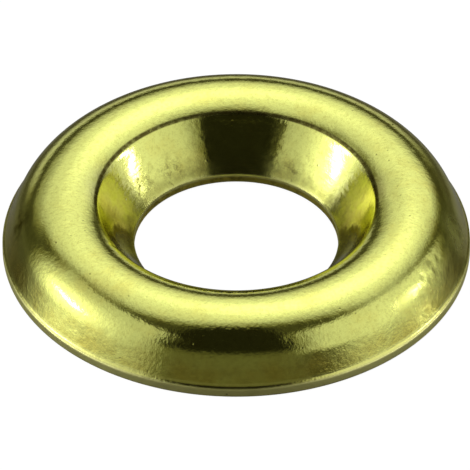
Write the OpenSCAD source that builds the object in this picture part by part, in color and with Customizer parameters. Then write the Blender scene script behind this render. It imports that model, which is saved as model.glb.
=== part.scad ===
// Finishing cup washer, pressed from one piece of thin brass sheet.
// A rounded crown runs round the top. Inside it the sheet turns down into a countersunk cup
// that ends at the screw hole. Outside it a steep skirt flares out at its foot and is trimmed
// upright at the rim that it stands on.
// The underside is hollow, because the sheet keeps its thickness all the way across.
// Units are millimetres. The base lies on z = 0 and the screw runs along z.

/* [Overall] */
// Diameter over the rim
outer_d = 14; // [12:0.1:16]
// Height from the base to the top of the crown
height = 2.05; // [1.8:0.05:2.5]
// Thickness of the brass sheet
sheet_t = 0.3; // [0.2:0.01:0.4]

/* [Cup] */
// Diameter of the screw hole
hole_d = 6.1; // [4.5:0.1:7]
// Height above the base at which the cup ends at the wall of the screw hole
hole_wall_h = 0.27; // [0.2:0.01:0.5]
// Included angle of the countersunk cup
cup_angle = 74; // [70:1:92]
// Outside bend radius of the lip where the crown turns down into the cup
lip_r = 0.42; // [0.41:0.01:0.8]
// Angle that the lip turns through before the cup runs straight
lip_turn = 21; // [4:1:26]

/* [Skirt] */
// Slope of the skirt above the base
skirt_angle = 68; // [56:1:72]
// Inside bend radius of the flare at the foot of the skirt
flare_r = 0.2; // [0.1:0.01:0.4]
// Slope that the flare still has where the rim is trimmed
rim_slope = 30; // [10:1:40]
// Depth of sheet that is taken off level under the rim
base_cut = 0.05; // [0.02:0.01:0.1]

/* [Hidden] */
$fn = 180;

rim_r = outer_d / 2;
hole_r = hole_d / 2;

// Corner at the top of the hole's wall, and the centre that the flare bends about,
// as [radius, height]
hole_corner = [hole_r, hole_wall_h];
flare_centre = [rim_r + flare_r * sin(rim_slope), flare_r + sheet_t - base_cut];

// Outward directions of the two straight faces, and the direction down the skirt
cup_normal = [-cos(cup_angle / 2), sin(cup_angle / 2)];
skirt_normal = [sin(skirt_angle), cos(skirt_angle)];
skirt_down = [cos(skirt_angle), -sin(skirt_angle)];

// Finest step of a worked-out size
finest = 0.0001;

// The crown is the one arc that reaches the height and runs smoothly into the skirt and the lip.
// Each of those two contacts is an equation in the arc's radius and in the radius of the ring
// that the top of the crown lies on.
cup_gain = cos(lip_turn) - cup_normal[1];
cup_rest = cup_normal * hole_corner - lip_r * (1 - cos(lip_turn)) - height * cup_normal[1];
skirt_gain = 1 - skirt_normal[1];
skirt_rest = skirt_normal * flare_centre - flare_r - height * skirt_normal[1];
crown_fit_r = (cup_normal[0] * skirt_rest - skirt_normal[0] * cup_rest)
    / (cup_normal[0] * skirt_gain - skirt_normal[0] * cup_gain);
crown_r = finest * round(crown_fit_r / finest);
crown_ring_r = (skirt_rest - skirt_gain * crown_r) / skirt_normal[0];
crown_centre = [crown_ring_r, height - crown_r];

// Angle that the crown turns through on its way down to the lip
crown_turn = 90 - cup_angle / 2 - lip_turn;

// Length of the straight skirt between the crown and the flare
skirt_run = skirt_down * (flare_centre - crown_centre);

// Length of a straight run of sheet before it is trimmed, long enough to pass the base
untrimmed = 3 * height;

// Core of the sheet that reaches across the start of a stretch into the one before it
module tongue() {
    third = sheet_t / 3;
    translate([-third, -2 * third])
        square([2 * third, third]);
}

// A straight run of the sheet with its upper face along the x axis, and what follows it
module run(length) {
    tongue();
    translate([0, -sheet_t])
        square([length, sheet_t]);
    translate([length, 0])
        children();
}

// A bend of the sheet that turns down from the x axis, and what follows it
module bend(r, turn) {
    tongue();
    translate([0, -r]) {
        intersection() {
            difference() {
                circle(r);
                circle(r - sheet_t);
            }
            square(2 * r);
            rotate(-turn)
                translate([-2 * r, 0])
                    square(2 * r);
        }
        rotate(-turn)
            translate([0, r])
                children();
    }
}

// Turns the sheet over, so that the bend that follows turns up
module turned_over() {
    translate([0, -sheet_t])
        mirror([0, 1])
            children();
}

// The sheet as it is pressed, from the top of the crown out to the flare and in to the cup
module pressed_sheet() {
    translate([crown_ring_r, height]) {
        bend(crown_r, skirt_angle)
            run(skirt_run)
                turned_over()
                    bend(flare_r + sheet_t, skirt_angle);
        mirror([1, 0])
            bend(crown_r, crown_turn)
                bend(lip_r, lip_turn)
                    run(untrimmed);
    }
}

// Half section: the sheet pierced at the hole, trimmed at the rim and cut level at the base
module section() {
    intersection() {
        pressed_sheet();
        translate([hole_r, 0])
            square([rim_r - hole_r, untrimmed]);
    }
}

module cup_washer() {
    color("#c3c05a")
        rotate_extrude()
            section();
}

cup_washer();
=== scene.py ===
import math

import bpy
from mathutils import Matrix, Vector


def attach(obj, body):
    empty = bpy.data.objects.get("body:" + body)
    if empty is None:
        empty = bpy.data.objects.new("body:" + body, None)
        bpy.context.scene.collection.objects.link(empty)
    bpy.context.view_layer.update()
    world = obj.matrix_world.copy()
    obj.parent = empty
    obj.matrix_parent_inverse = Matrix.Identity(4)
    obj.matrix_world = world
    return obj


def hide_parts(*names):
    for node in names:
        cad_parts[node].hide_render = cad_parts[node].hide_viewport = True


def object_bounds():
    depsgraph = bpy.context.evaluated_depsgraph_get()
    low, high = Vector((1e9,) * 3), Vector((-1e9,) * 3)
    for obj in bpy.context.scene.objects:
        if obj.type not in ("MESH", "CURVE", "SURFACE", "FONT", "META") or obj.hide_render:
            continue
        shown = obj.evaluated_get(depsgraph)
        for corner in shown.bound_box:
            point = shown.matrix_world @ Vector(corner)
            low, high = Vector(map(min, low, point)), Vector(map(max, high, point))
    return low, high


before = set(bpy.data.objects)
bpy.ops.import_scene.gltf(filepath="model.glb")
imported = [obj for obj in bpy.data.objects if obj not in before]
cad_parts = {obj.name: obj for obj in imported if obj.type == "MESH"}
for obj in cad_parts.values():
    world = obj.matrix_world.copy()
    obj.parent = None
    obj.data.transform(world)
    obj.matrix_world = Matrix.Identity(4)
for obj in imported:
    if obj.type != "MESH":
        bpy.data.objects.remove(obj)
cad_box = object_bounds()

MM = 0.001

# Sizes of the washer, in millimetres and degrees, as in the part's source. The outside and the height come
# from the bounds of the imported model.
OUTER_R = (cad_box[1].x - cad_box[0].x) / 2 / MM
HEIGHT = (cad_box[1].z - cad_box[0].z) / MM
SHEET_T = 0.3
HOLE_R = 3.05
HOLE_WALL_H = 0.27
CUP_ANGLE = 74
LIP_R = 0.42
LIP_TURN = 21
SKIRT_ANGLE = 68
FLARE_R = 0.2
RIM_SLOPE = 30
BASE_CUT = 0.05

# Finer sizes that only the visual model has: the rounding of the cut edges, the most of a stretch that
# it takes, the least of its last step that it leaves, and how far the cup's wall is dished
EDGE_R = 0.035
EDGE_SHARE = 0.4
STEP_LEFT = 0.1
CUP_DISH = 0.028

# Fineness of the turned mesh: steps round, longest step, widest turn and fewest steps along an arc, longest
# step along a straight run, steps across a rounded edge, and how much coarser the hidden underside is
STEPS_ROUND = 640
ARC_STEP = 0.07
ARC_TURN = 3.0
ARC_FEWEST = 3
RUN_STEP = 0.12
EDGE_STEPS = 3
UNDERSIDE = 2.2

# Step along the lip's arc, from the cup, at which the crease with its painted shade begins
CREASE_FROM = 3

# Camera: its elevation in degrees, distance and sensor in millimetres, and range of view in metres
CAMERA_ELEVATION = 39.4
CAMERA_DISTANCE = 350.0
SENSOR = 36.0
CLIP = (0.01, 10.0)

# Picture: its side in pixels, its scale, and the pixel where the middle of the base lies
PICTURE = 470
PIXELS_PER_MM = 33.4
BASE_AT = (235.8, 245.8)

WHITE = (1.0, 1.0, 1.0, 1.0)


def toward(azimuth, elevation):
    """Unit direction, with azimuth 0 towards the camera and 90 to its right."""
    a, e = math.radians(azimuth), math.radians(elevation)
    return Vector((math.sin(a) * math.cos(e), -math.cos(a) * math.cos(e), math.sin(e)))


def tilted(angle):
    """Unit direction in the section, by its angle in degrees from straight up, positive outwards."""
    a = math.radians(angle)
    return Vector((math.sin(a), math.cos(a)))


class Graph:
    """Short ways to add and link shader nodes."""

    def __init__(self, tree):
        tree.nodes.clear()
        self.tree = tree

    def add(self, kind, **settings):
        node = self.tree.nodes.new(kind)
        for name, value in settings.items():
            setattr(node, name, value)
        return node

    def feed(self, socket, value):
        if isinstance(value, bpy.types.NodeSocket):
            self.tree.links.new(value, socket)
        else:
            socket.default_value = value

    def math(self, operation, a, b=0.0):
        node = self.add("ShaderNodeMath", operation=operation)
        self.feed(node.inputs[0], a)
        self.feed(node.inputs[1], b)
        return node.outputs[0]

    def vector(self, operation, a, b=(0.0, 0.0, 0.0)):
        node = self.add("ShaderNodeVectorMath", operation=operation)
        self.feed(node.inputs[0], a)
        self.feed(node.inputs[1], b)
        return node.outputs["Value" if operation in ("DOT_PRODUCT", "DISTANCE") else "Vector"]

    def ramp(self, value, low, high, to_low=0.0, to_high=1.0):
        node = self.add("ShaderNodeMapRange", interpolation_type="SMOOTHSTEP")
        for socket, number in zip(node.inputs, (value, low, high, to_low, to_high)):
            self.feed(socket, number)
        return node.outputs[0]

    def noise(self, vector, scale, detail=2.0, roughness=0.5):
        node = self.add("ShaderNodeTexNoise")
        for name, value in (("Vector", vector), ("Scale", scale), ("Detail", detail),
                            ("Roughness", roughness)):
            self.feed(node.inputs[name], value)
        return node.outputs["Fac"]

    def cells(self, vector, scale):
        node = self.add("ShaderNodeTexVoronoi")
        self.feed(node.inputs["Vector"], vector)
        self.feed(node.inputs["Scale"], scale)
        return node.outputs["Distance"]

    def attribute(self, name):
        return self.add("ShaderNodeAttribute", attribute_name=name).outputs["Fac"]

    def mix_shaders(self, share, a, b):
        node = self.add("ShaderNodeMixShader")
        self.feed(node.inputs[0], share)
        self.feed(node.inputs[1], a.outputs[0])
        self.feed(node.inputs[2], b.outputs[0])
        return node

    def blend(self, share, a, b):
        node = self.add("ShaderNodeMix", data_type="RGBA")
        self.feed(node.inputs["Factor"], share)
        self.feed(node.inputs[6], a)
        self.feed(node.inputs[7], b)
        return node.outputs[2]


def arc(centre, radius, start, end, coarser=1.0):
    """Points about a centre, between two angles of tilt."""
    turn = abs(end - start)
    by_length = math.ceil(math.radians(turn) * radius / (ARC_STEP * coarser))
    by_turn = math.ceil(turn / (ARC_TURN * coarser))
    count = max(ARC_FEWEST, by_length, by_turn)
    return [centre + radius * tilted(start + (end - start) * i / count) for i in range(count + 1)]


def line(start, end, coarser=1.0):
    """Points along a straight run."""
    count = max(1, math.ceil((end - start).length / (RUN_STEP * coarser)))
    return [start.lerp(end, i / count) for i in range(count + 1)]


def shortened(points, length):
    """The points without the given length at their start."""
    rest = list(points)
    while len(rest) > 2 and (rest[1] - rest[0]).length <= length:
        length -= (rest[1] - rest[0]).length
        rest.pop(0)
    step = rest[1] - rest[0]
    rest[0] = rest[0] + step * min(1 - STEP_LEFT, length / step.length)
    return rest


def eased(corner, start, end):
    """A small rounded edge in place of a corner."""
    shares = [i / EDGE_STEPS for i in range(EDGE_STEPS + 1)]
    return [start.lerp(corner, s).lerp(corner.lerp(end, s), s) for s in shares]


def dished(points, out):
    """The points of a straight run, pushed out slightly in the middle."""
    last = len(points) - 1
    return [p + out * CUP_DISH * 4 * (i / last) * (1 - i / last) for i, p in enumerate(points)]


def section():
    """Stretches of the closed section: name and points, as (radius, height) in millimetres."""
    half = CUP_ANGLE / 2
    cup_n = tilted(half - 90)
    skirt_n = tilted(SKIRT_ANGLE)
    hole_corner = Vector((HOLE_R, HOLE_WALL_H))
    flare_centre = Vector((OUTER_R + FLARE_R * tilted(RIM_SLOPE).x, FLARE_R + SHEET_T - BASE_CUT))

    # The crown is the one arc that reaches the height and runs smoothly into the skirt and the lip.
    turn_cos = tilted(LIP_TURN).y
    cup_gain = turn_cos - cup_n.y
    cup_rest = cup_n @ hole_corner - LIP_R * (1 - turn_cos) - HEIGHT * cup_n.y
    skirt_gain = 1 - skirt_n.y
    skirt_rest = skirt_n @ flare_centre - FLARE_R - HEIGHT * skirt_n.y
    crown_r = (cup_n.x * skirt_rest - skirt_n.x * cup_rest) / (cup_n.x * skirt_gain - skirt_n.x * cup_gain)
    crown_centre = Vector(((skirt_rest - skirt_gain * crown_r) / skirt_n.x, HEIGHT - crown_r))
    crown_turn = 90 - half - LIP_TURN
    lip_centre = crown_centre + (crown_r - LIP_R) * tilted(-crown_turn)

    upper_lip = arc(lip_centre, LIP_R, half - 90, -crown_turn)
    upper_crown = arc(crown_centre, crown_r, -crown_turn, SKIRT_ANGLE)
    upper_flare = arc(flare_centre, FLARE_R, SKIRT_ANGLE - 180, RIM_SLOPE - 180)
    under_r = FLARE_R + SHEET_T
    base_slope = math.degrees(math.acos(flare_centre.y / under_r))
    under_flare = arc(flare_centre, under_r, base_slope - 180, SKIRT_ANGLE - 180, UNDERSIDE)
    under_crown = arc(crown_centre, crown_r - SHEET_T, SKIRT_ANGLE, -crown_turn, UNDERSIDE)
    under_lip = arc(lip_centre, LIP_R - SHEET_T, -crown_turn, half - 90, UNDERSIDE)
    cup_slope = math.tan(math.radians(half))
    cup_foot = Vector((under_lip[-1].x - under_lip[-1].y * cup_slope, 0.0))
    rim_foot = Vector((OUTER_R, 0.0))
    hole_foot = Vector((HOLE_R, 0.0))
    return [
        ("cup", dished(line(hole_corner, upper_lip[0]), -cup_n)),
        ("lip", upper_lip[:CREASE_FROM + 1]),
        ("crease", upper_lip[CREASE_FROM:]),
        ("crown", upper_crown),
        ("skirt", line(upper_crown[-1], upper_flare[0])),
        ("flare", upper_flare),
        ("rim", line(upper_flare[-1], rim_foot)),
        ("base", line(rim_foot, under_flare[0])),
        ("under_flare", under_flare),
        ("under_skirt", line(under_flare[-1], under_crown[0], UNDERSIDE)),
        ("under_crown", under_crown),
        ("under_lip", under_lip),
        ("under_cup", dished(line(under_lip[-1], cup_foot, UNDERSIDE), -cup_n)),
        ("cup_foot", line(cup_foot, hole_foot)),
        ("hole", line(hole_foot, hole_corner)),
    ]


# Stretches that end in a sharp corner, that are cut faces, and that the press shaped on the upper side
SHARP_AFTER = ("flare", "rim", "base", "under_cup", "cup_foot", "hole")
TRIMMED = ("rim", "base", "cup_foot", "hole")
PRESSED = ("cup", "lip", "crease", "crown", "skirt", "flare")


def softened(stretches):
    """The section with a small rounded edge at each sharp corner, as (name, point) round the loop."""
    names = [name for name, _ in stretches]
    runs = [list(points) for _, points in stretches]
    corners = {}
    for i, name in enumerate(names):
        if name in SHARP_AFTER:
            j = (i + 1) % len(runs)
            corners[name] = runs[i][-1].copy()
            lengths = [(run[-1] - run[0]).length for run in (runs[i], runs[j])]
            size = min(EDGE_R, EDGE_SHARE * min(lengths))
            runs[i] = shortened(runs[i][::-1], size)[::-1]
            runs[j] = shortened(runs[j], size)
    loop = []
    for i, name in enumerate(names):
        loop += [(name, p) for p in runs[i][:-1]]
        if name in corners:
            edge = eased(corners[name], runs[i][-1], runs[(i + 1) % len(runs)][0])
            loop += [("edge", p) for p in edge[:-1]]
    return loop


# Small dents in the pressed face: azimuth and radius, reach and depth
NICKS = (
    dict(at=(60, 6.36), reach=0.11, depth=0.020),
    dict(at=(66, 6.28), reach=0.08, depth=0.012),
    dict(at=(54, 6.50), reach=0.08, depth=0.010),
    dict(at=(69, 6.42), reach=0.07, depth=0.012),
    dict(at=(57, 6.28), reach=0.06, depth=0.010),
    dict(at=(62, 6.52), reach=0.09, depth=0.014),
    dict(at=(-60, 4.18), reach=0.12, depth=0.030),
    dict(at=(-160, 5.08), reach=0.09, depth=0.008),
    dict(at=(-35, 6.60), reach=0.08, depth=0.008),
    dict(at=(-30, 6.72), reach=0.07, depth=0.007),
)

# Number of its reaches after which nothing of a nick is left
NICK_SPAN = 2.5


def nicked(rings, loop):
    """Presses the nicks into the turned rings of points."""
    face = [k for k, (name, _) in enumerate(loop) if name in PRESSED]
    for nick in NICKS:
        azimuth, radius = nick["at"]
        row = min(face, key=lambda k: abs(loop[k][1].x - radius))
        middle = round(azimuth / 360 * STEPS_ROUND)
        centre = rings[middle % STEPS_ROUND][row].copy()
        span = 1 + math.ceil(NICK_SPAN * nick["reach"] / (2 * math.pi * radius) * STEPS_ROUND)
        for i in range(middle - span, middle + span + 1):
            ring = rings[i % STEPS_ROUND]
            turn = toward(360 * i / STEPS_ROUND, 0)
            for k in face:
                across = loop[k + 1][1] - loop[k - 1][1]
                inward = (turn * across.y - Vector((0, 0, across.x))) / across.length
                share = math.exp(-((ring[k] - centre).length / nick["reach"]) ** 2)
                ring[k] = ring[k] + inward * nick["depth"] * share


def lathe(name, loop):
    """A closed mesh of the section turned about z, with the nicks in it."""
    rows = len(loop)
    rings = []
    for i in range(STEPS_ROUND):
        out = toward(360 * i / STEPS_ROUND, 0)
        rings.append([out * p.x + Vector((0, 0, p.y)) for _, p in loop])
    nicked(rings, loop)
    verts = [p * MM for ring in rings for p in ring]
    faces = []
    for i in range(STEPS_ROUND):
        j = (i + 1) % STEPS_ROUND
        for k in range(rows):
            m = (k + 1) % rows
            faces.append((i * rows + k, i * rows + m, j * rows + m, j * rows + k))
    mesh = bpy.data.meshes.new(name)
    mesh.from_pydata(verts, [], faces)
    mesh.polygons.foreach_set("use_smooth", [True] * len(faces))
    mesh.validate()
    mesh.update()
    return mesh


# Marks that the material reads: the stretches that each one covers, and how softly it ends, in millimetres
MARKS = dict(
    cup=(("cup",), 0.2),
    hole=(("hole",), 0.05),
    skirt=(("skirt", "flare"), 0.7),
    trimmed=(TRIMMED + ("edge",), 0.05),
    crease=(("crease",), 0.08),
    skirt_foot=(("flare", "rim"), 0.9),
    flare=(("flare",), 0.05),
)


def mark(mesh, loop, name, members, spread):
    """Stores how far each point belongs to the named stretches, from 0 to 1."""
    rows = len(loop)
    here = [1.0 if stretch in members else 0.0 for stretch, _ in loop]
    place, total = [], 0.0
    for k in range(rows):
        place.append(total)
        total += (loop[(k + 1) % rows][1] - loop[k][1]).length
    soft = []
    for k in range(rows):
        share = weight = 0.0
        for m in range(rows):
            gap = abs(place[m] - place[k])
            gap = min(gap, total - gap) / spread
            if gap < 1:
                share += here[m] * (1 - gap)
                weight += 1 - gap
        soft.append(share / weight)
    mesh.attributes.new(name, "FLOAT", "POINT").data.foreach_set("value", soft * STEPS_ROUND)


# Brass where the sheet was pressed, in its greener, golden, stained and tarnished parts, with a painted
# highlight along its flare, where it was cut, and the dark colour of grime and of painted shade
LEMON = (0.83, 0.86, 0.20, 1.0)
GOLDEN = (0.72, 0.62, 0.10, 1.0)
TAN = (0.70, 0.63, 0.36, 1.0)
TARNISH = (0.44, 0.40, 0.07, 1.0)
FLARE_HIGHLIGHT = (0.93, 0.92, 0.24, 1.0)
CUT = (0.98, 0.95, 0.34, 1.0)
DIRT_AND_SHADE = (0.11, 0.085, 0.015, 1.0)

# Tint of the reflections at a glancing angle, on clean brass and under grime and painted shade
GLANCING = (1.0, 0.97, 0.82, 1.0)
GLANCING_DIRT_AND_SHADE = (0.16, 0.15, 0.10, 1.0)

# Heights of the fine relief, in micrometres
MICRON = 0.001 * MM
GRAIN = 4.0
GRAIN_IN_CUP = 1.8
PEBBLES = 10.0
CUP_LINES = 3.0
BROAD_WAVES = 7.0
SHORT_WAVES = 4.0
PIT_DEPTH = 5.0

# Most that grime and painted shade cover of the brass, by where it lies: painted shade along the lip's
# crease and towards the bottom of the cup, grime in the hole and the pits, and both in the smudges
SHADE_ON_LIP = 0.95
SHADE_IN_CUP = 0.7
DIRT_IN_HOLE = 0.6
DIRT_AND_SHADE_IN_SMUDGES = 0.85
DIRT_IN_PITS = 0.5

# Most that tarnish covers of the skirt in patches and of the whole sheet in flecks, how much of a painted
# highlight lies along the flare, and how much more golden the skirt's foot is
MOTTLED = 0.55
FLECKED = 0.45
FLARE_HIGHLIGHT_SHARE = 0.7
GOLDEN_FOOT = 0.5

# Roughness of the clean sheet, from its brightest to its dullest parts, and what is added to it
POLISHED = (0.07, 0.12)
CUT_DULL = 0.4
DIRT_AND_SHADE_DULL = 0.2
SKIRT_DULL = 0.09
SCUFF_DULL = 0.24

# Stains in the cup, dark smudges (painted shade low in the cup, and grime on the skirt) and scuffed parts
# of the skirt: azimuth, radius and height of the middle, and reach
STAINS = (
    dict(at=(-98, 3.6, 1.0), reach=1.7),
    dict(at=(98, 3.5, 0.9), reach=1.7),
)
SMUDGES = (
    dict(at=(-124, 3.4, 0.65), reach=1.1),
    dict(at=(-145, 3.3, 0.55), reach=0.9),
    dict(at=(150, 3.3, 0.50), reach=0.7),
    dict(at=(-84, 6.4, 1.30), reach=0.8),
    dict(at=(86, 6.5, 1.20), reach=0.7),
    dict(at=(64, 6.4, 1.30), reach=0.6),
)
SCUFFS = (
    dict(at=(50, 6.5, 1.20), reach=1.0),
    dict(at=(63, 6.5, 1.25), reach=0.9),
    dict(at=(84, 6.5, 1.10), reach=1.0),
)


def near(g, place, spots):
    """How close a place is to the middle of the nearest spot, from 0 at its reach to 1."""
    reached = 0.0
    for spot in spots:
        azimuth, radius, height = spot["at"]
        middle = toward(azimuth, 0) * radius + Vector((0, 0, height))
        away = g.vector("DISTANCE", place, tuple(middle))
        reached = g.math("MAXIMUM", g.ramp(away, spot["reach"], 0.0), reached)
    return reached


def pits(g, place):
    """How deep the small pits are, from 0 to 1. They lie in some parts of the face and not in others."""
    pitted = g.ramp(g.noise(place, 1.7), 0.45, 0.6)
    return g.math("MULTIPLY", g.ramp(g.cells(place, 2.6), 0.13, 0.0), pitted)


def relief(g, place):
    """Height of the relief: grain, waves and pits all over, pebbles on the skirt, lines round the cup."""
    cup = g.attribute("cup")
    grain = g.math("MULTIPLY", g.noise(place, 11.0, 2.0, 0.65), g.ramp(cup, 0.0, 1.0, GRAIN, GRAIN_IN_CUP))
    pebbled = g.math("MULTIPLY", g.attribute("skirt"), PEBBLES)
    pebbles = g.math("MULTIPLY", g.noise(place, 6.0, 2.0, 0.6), pebbled)
    flattened = g.vector("MULTIPLY", place, (0.25, 0.25, 7.0))
    lines = g.math("MULTIPLY", g.noise(flattened, 1.0, 2.0, 0.6), g.math("MULTIPLY", cup, CUP_LINES))
    broad = g.math("MULTIPLY", g.noise(place, 1.3, 1.0), BROAD_WAVES)
    short = g.math("MULTIPLY", g.noise(place, 3.4, 1.0), SHORT_WAVES)
    height = g.math("MULTIPLY", pits(g, place), -PIT_DEPTH)
    for part in (grain, pebbles, lines, broad, short):
        height = g.math("ADD", height, part)
    return height


def dirt_and_shade(g, place):
    """How far grime and painted shade cover the brass: painted shade ragged along the lip's crease and in
    patches towards the bottom of the cup, both in the smudges, and grime in the hole and the pits.
    """
    split = g.add("ShaderNodeSeparateXYZ")
    g.feed(split.inputs[0], place)
    # Painted shade along the lip's crease: ragged, and stronger towards the back
    ragged = g.ramp(g.noise(place, 5.0, 3.0, 0.7), 0.25, 0.6, 0.6, 1.0)
    ragged = g.math("MULTIPLY", ragged, g.ramp(split.outputs["Y"], -2.5, 0.5, 0.5, 1.0))
    lip = g.math("MULTIPLY", g.ramp(g.attribute("crease"), 0.15, 0.6, 0.0, SHADE_ON_LIP), ragged)
    # Painted shade in patches, darker towards the bottom of the cup
    patches = g.math("ADD", split.outputs["Z"], g.math("MULTIPLY", g.noise(place, 2.2, 4.0, 0.7), 0.9))
    cup = g.math("MULTIPLY", g.ramp(patches, 1.4, 0.6, 0.0, SHADE_IN_CUP), g.attribute("cup"))
    hole = g.ramp(g.noise(place, 2.0, 3.0, 0.7), 0.45, 0.7, 0.0, DIRT_IN_HOLE)
    hole = g.math("MULTIPLY", hole, g.attribute("hole"))
    # Dark smudges: painted shade low in the cup, and grime on the skirt
    speckled = g.ramp(g.noise(place, 4.0, 4.0, 0.75), 0.36, 0.64)
    smudged = g.math("MULTIPLY", g.math("MULTIPLY", near(g, place, SMUDGES), speckled), DIRT_AND_SHADE_IN_SMUDGES)
    covered = g.math("MULTIPLY", pits(g, place), DIRT_IN_PITS)
    for part in (lip, cup, hole, smudged):
        covered = g.math("MAXIMUM", covered, part)
    return covered


def tints(g, place):
    """Colour of the pressed sheet: broad golden parts, stains, tarnish, and a painted highlight along the
    flare.
    """
    foot = g.math("MULTIPLY", g.attribute("skirt_foot"), GOLDEN_FOOT)
    golden = g.math("ADD", g.noise(place, 0.8, 4.0, 0.65), foot)
    colour = g.blend(g.ramp(golden, 0.42, 1.0), LEMON, GOLDEN)
    patchy = g.ramp(g.noise(place, 1.6, 4.0, 0.7), 0.25, 0.6, 0.3, 1.0)
    colour = g.blend(g.math("MULTIPLY", near(g, place, STAINS), patchy), colour, TAN)
    mottled = g.ramp(g.noise(place, 3.6, 4.0, 0.75), 0.42, 0.70, 0.0, MOTTLED)
    colour = g.blend(g.math("MULTIPLY", mottled, g.attribute("skirt")), colour, TARNISH)
    flecked = g.ramp(g.noise(place, 9.0, 3.0, 0.75), 0.42, 0.78, 0.0, FLECKED)
    colour = g.blend(flecked, colour, TARNISH)
    # A painted highlight along the flare, in a brighter brass
    return g.blend(g.ramp(g.attribute("flare"), 0.3, 0.8, 0.0, FLARE_HIGHLIGHT_SHARE), colour, FLARE_HIGHLIGHT)


def roughness(g, place, dirt_and_shade_cover):
    """Roughness of the brass: nearly polished, and duller on cut faces, under grime and painted shade, on
    the skirt and its scuffs.
    """
    polish = g.ramp(g.noise(place, 3.0, 4.0), 0.3, 0.7, *POLISHED)
    dull = g.math("MULTIPLY", g.attribute("trimmed"), CUT_DULL)
    dull = g.math("MAXIMUM", dull, g.math("MULTIPLY", dirt_and_shade_cover, DIRT_AND_SHADE_DULL))
    dull = g.math("MAXIMUM", dull, g.math("MULTIPLY", g.attribute("skirt"), SKIRT_DULL))
    dull = g.math("ADD", dull, g.math("MULTIPLY", near(g, place, SCUFFS), SCUFF_DULL))
    return g.math("ADD", polish, dull)


def brass():
    """Bright pressed brass, duller where it was cut and under grime and painted shade."""
    material = bpy.data.materials.new("brass")
    material.use_nodes = True
    g = Graph(material.node_tree)
    place = g.vector("SCALE", g.add("ShaderNodeTexCoord").outputs["Object"])
    place.node.inputs["Scale"].default_value = 1 / MM
    dirt_and_shade_cover = dirt_and_shade(g, place)
    cut = g.blend(g.attribute("hole"), CUT, GOLDEN)
    colour = g.blend(g.attribute("trimmed"), tints(g, place), cut)
    bump = g.add("ShaderNodeBump")
    bump.inputs["Strength"].default_value = 1.0
    bump.inputs["Distance"].default_value = MICRON
    g.feed(bump.inputs["Height"], relief(g, place))
    shader = g.add("ShaderNodeBsdfPrincipled")
    shader.inputs["Metallic"].default_value = 1.0
    # Grime and painted shade darken the colour and the glancing tint
    g.feed(shader.inputs["Base Color"], g.blend(dirt_and_shade_cover, colour, DIRT_AND_SHADE))
    g.feed(shader.inputs["Specular Tint"], g.blend(dirt_and_shade_cover, GLANCING, GLANCING_DIRT_AND_SHADE))
    g.feed(shader.inputs["Roughness"], roughness(g, place, dirt_and_shade_cover))
    g.feed(shader.inputs["Normal"], bump.outputs["Normal"])
    out = g.add("ShaderNodeOutputMaterial")
    g.feed(out.inputs["Surface"], shader.outputs["BSDF"])
    return material


def washer():
    """The pressed washer, a finer mesh in place of the CAD one."""
    loop = softened(section())
    mesh = lathe("cup_washer_pressed", loop)
    for name, (members, spread) in MARKS.items():
        mark(mesh, loop, name, members, spread)
    piece = bpy.data.objects.new("cup_washer_pressed", mesh)
    bpy.context.scene.collection.objects.link(piece)
    mesh.materials.append(brass())
    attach(piece, "root")
    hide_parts("cup_washer")


# Floor: half its side in metres, and the share and strength of its plain white glow, as the camera and as
# the metal see it. The rest of it takes the light and the shadow. The metal also sees the panels mirrored
# in the floor's polish, which is given as a refractive index.
FLOOR_HALF = 1.5
FLOOR_GLOW = 0.8
FLOOR_GLOW_IN_METAL = 0.025
GLOW_STRENGTH = 1.2
PAINT = (0.6, 0.6, 0.6, 1.0)
PAINT_IN_METAL = (0.05, 0.042, 0.022, 1.0)
FLOOR_POLISH = 1.75
FLOOR_ROUGHNESS = 0.1


def floor_paint():
    """White to the camera, and a dark polished floor in the metal."""
    material = bpy.data.materials.new("floor")
    material.use_nodes = True
    g = Graph(material.node_tree)
    path = g.add("ShaderNodeLightPath")
    in_metal = path.outputs["Is Glossy Ray"]
    seen = g.math("MAXIMUM", path.outputs["Is Camera Ray"], path.outputs["Is Transmission Ray"])
    seen = g.math("MULTIPLY", seen, FLOOR_GLOW)
    seen = g.math("MAXIMUM", seen, g.math("MULTIPLY", in_metal, FLOOR_GLOW_IN_METAL))
    paint = g.add("ShaderNodeBsdfDiffuse")
    g.feed(paint.inputs["Color"], g.blend(in_metal, PAINT, PAINT_IN_METAL))
    polish = g.add("ShaderNodeBsdfGlossy")
    polish.inputs["Color"].default_value = WHITE
    polish.inputs["Roughness"].default_value = FLOOR_ROUGHNESS
    mirrored = g.add("ShaderNodeFresnel")
    mirrored.inputs["IOR"].default_value = FLOOR_POLISH
    glow = g.add("ShaderNodeEmission")
    glow.inputs["Color"].default_value = WHITE
    glow.inputs["Strength"].default_value = GLOW_STRENGTH
    polished = g.mix_shaders(g.math("MULTIPLY", in_metal, mirrored.outputs["Fac"]), paint, polish)
    out = g.add("ShaderNodeOutputMaterial")
    g.feed(out.inputs["Surface"], g.mix_shaders(seen, polished, glow).outputs[0])
    return material


def floor():
    """Plain white polished floor that keeps the washer's shadow."""
    corners = ((-1, -1), (1, -1), (1, 1), (-1, 1))
    mesh = bpy.data.meshes.new("floor")
    mesh.from_pydata([(x * FLOOR_HALF, y * FLOOR_HALF, 0) for x, y in corners], [], [(0, 1, 2, 3)])
    ground = bpy.data.objects.new("floor", mesh)
    bpy.context.scene.collection.objects.link(ground)
    mesh.materials.append(floor_paint())


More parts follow.
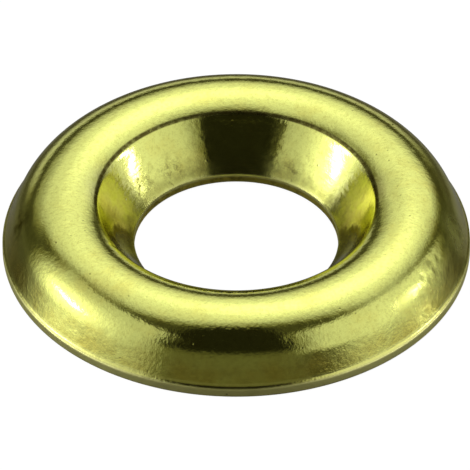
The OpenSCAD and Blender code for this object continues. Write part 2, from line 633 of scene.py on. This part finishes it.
# Studio panels: azimuth and elevation of the middle, half width and half height as tangents, softness of
# the upright and the level edges, and plain level. Some are rolled or lifted along their height, and some
# have a lamp behind them, with its level, its place on the panel and its spread.
PANELS = (
    # Overhead, towards the back
    dict(at=(169, 60), size=(0.80, 0.65), soft=(0.36, 0.32), level=0.76, roll=19, lift=0.02,
         lamp=0.85, spot=(-0.07, -0.05), spread=0.24),
    # Shelf below it
    dict(at=(184, 27), size=(0.75, 0.15), soft=(0.3, 0.02), level=0.27),
    # Left
    dict(at=(-77, 11), size=(0.72, 0.93), soft=(0.26, 0.07), level=0.52,
         lamp=1.35, spot=(-0.19, 0.06), spread=0.26),
    # Right
    dict(at=(78, 20), size=(0.80, 0.50), soft=(0.33, 0.10), level=0.65, roll=-26,
         lamp=0.25, spot=(0.20, 0.0), spread=0.33),
    # Low in front, and low at the back
    dict(at=(-6, 4.7), size=(0.77, 0.29), soft=(0.15, 0.15), level=0.06),
    dict(at=(186, 2), size=(0.50, 0.08), soft=(0.20, 0.04), level=0.50),
    # Small lamps at the left and at the right
    dict(at=(-88, 14.5), size=(0.14, 0.03), soft=(0.08, 0.03), level=8.0),
    dict(at=(94.5, 13), size=(0.10, 0.025), soft=(0.06, 0.02), level=10.0),
)

# Dark opening between the front panels, for the camera, and the share of the light that it takes away
OPENING = dict(at=(-4.5, 0), size=(0.68, 2.11), soft=(0.035, 0.08), lift=2.59)
OPENING_DEPTH = 0.76

# Level of the dim room, the colours of its light and of the panels' light, and the levels between which
# the one goes over into the other
DIM = 0.058
ROOM_LIGHT = (1.0, 0.97, 0.62, 1.0)
PANEL_LIGHT = (0.98, 1.0, 1.18, 1.0)
LIGHT_LEVELS = (0.05, 0.5)

# Cosines of the angle off a panel's middle between which it fades out, so that none of it shows on the
# opposite side
AHEAD = (0.05, 0.15)


def panel_place(g, direction, at, size, soft, roll=0, lift=0.0):
    """Place across and up a panel, and how far inside its soft edges a direction meets it."""
    right, up = toward(at[0] + 90, 0), toward(at[0], at[1] + 90)
    c, s = math.cos(math.radians(roll)), math.sin(math.radians(roll))
    ahead = g.vector("DOT_PRODUCT", direction, tuple(toward(*at)))
    depth = g.math("MAXIMUM", ahead, AHEAD[0])
    u = g.math("DIVIDE", g.vector("DOT_PRODUCT", direction, tuple(right * c + up * s)), depth)
    v = g.math("DIVIDE", g.vector("DOT_PRODUCT", direction, tuple(up * c - right * s)), depth)
    v = g.math("SUBTRACT", v, lift)
    inside = g.ramp(ahead, *AHEAD)
    for place, half, edge in zip((u, v), size, soft):
        inside = g.math("MULTIPLY", inside, g.ramp(g.math("ABSOLUTE", place), half + edge, half - edge))
    return u, v, inside


def panel_light(g, direction, level, lamp=0.0, spot=(0.0, 0.0), spread=1.0, **place):
    """Radiance of one panel by direction."""
    u, v, inside = panel_place(g, direction, **place)
    bright = level
    if lamp:
        du = g.math("POWER", g.math("SUBTRACT", u, spot[0]), 2.0)
        dv = g.math("POWER", g.math("SUBTRACT", v, spot[1]), 2.0)
        fall = g.math("DIVIDE", g.math("ADD", du, dv), -2 * spread * spread)
        bright = g.math("ADD", g.math("MULTIPLY", g.math("EXPONENT", fall), lamp), level)
    return g.math("MULTIPLY", inside, bright)


def studio():
    """Soft studio panels round the washer, and a white backdrop for the camera."""
    world = bpy.data.worlds.new("studio")
    bpy.context.scene.world = world
    world.use_nodes = True
    g = Graph(world.node_tree)
    direction = g.add("ShaderNodeTexCoord").outputs["Generated"]
    light = DIM
    for panel in PANELS:
        light = g.math("ADD", panel_light(g, direction, **panel), light)
    opening = g.math("MULTIPLY", panel_place(g, direction, **OPENING)[2], -OPENING_DEPTH)
    light = g.math("MULTIPLY", light, g.math("ADD", opening, 1.0))
    panels = g.add("ShaderNodeBackground")
    g.feed(panels.inputs["Color"], g.blend(g.ramp(light, *LIGHT_LEVELS), ROOM_LIGHT, PANEL_LIGHT))
    g.feed(panels.inputs["Strength"], light)
    backdrop = g.add("ShaderNodeBackground")
    backdrop.inputs["Color"].default_value = WHITE
    seen = g.add("ShaderNodeLightPath").outputs["Is Camera Ray"]
    out = g.add("ShaderNodeOutputWorld")
    g.feed(out.inputs["Surface"], g.mix_shaders(seen, panels, backdrop).outputs[0])


def camera():
    """Camera at the photo's angle, far off, with the base where it lies in the photo."""
    data = bpy.data.cameras.new("camera")
    data.sensor_width = SENSOR
    data.lens = SENSOR * CAMERA_DISTANCE * PIXELS_PER_MM / PICTURE
    data.clip_start, data.clip_end = CLIP
    eye = bpy.data.objects.new("camera", data)
    bpy.context.scene.collection.objects.link(eye)
    back = toward(0, CAMERA_ELEVATION)
    up = toward(0, CAMERA_ELEVATION + 90)
    middle = (PICTURE - 1) / 2
    aim = (Vector((1, 0, 0)) * (middle - BASE_AT[0]) + up * (BASE_AT[1] - middle)) / PIXELS_PER_MM
    eye.location = (aim + back * CAMERA_DISTANCE) * MM
    eye.rotation_mode = "QUATERNION"
    eye.rotation_quaternion = (-back).to_track_quat("-Z", "Y")
    bpy.context.scene.camera = eye


washer()
floor()
studio()
camera()
bpy.context.scene.view_settings.view_transform = "Standard"
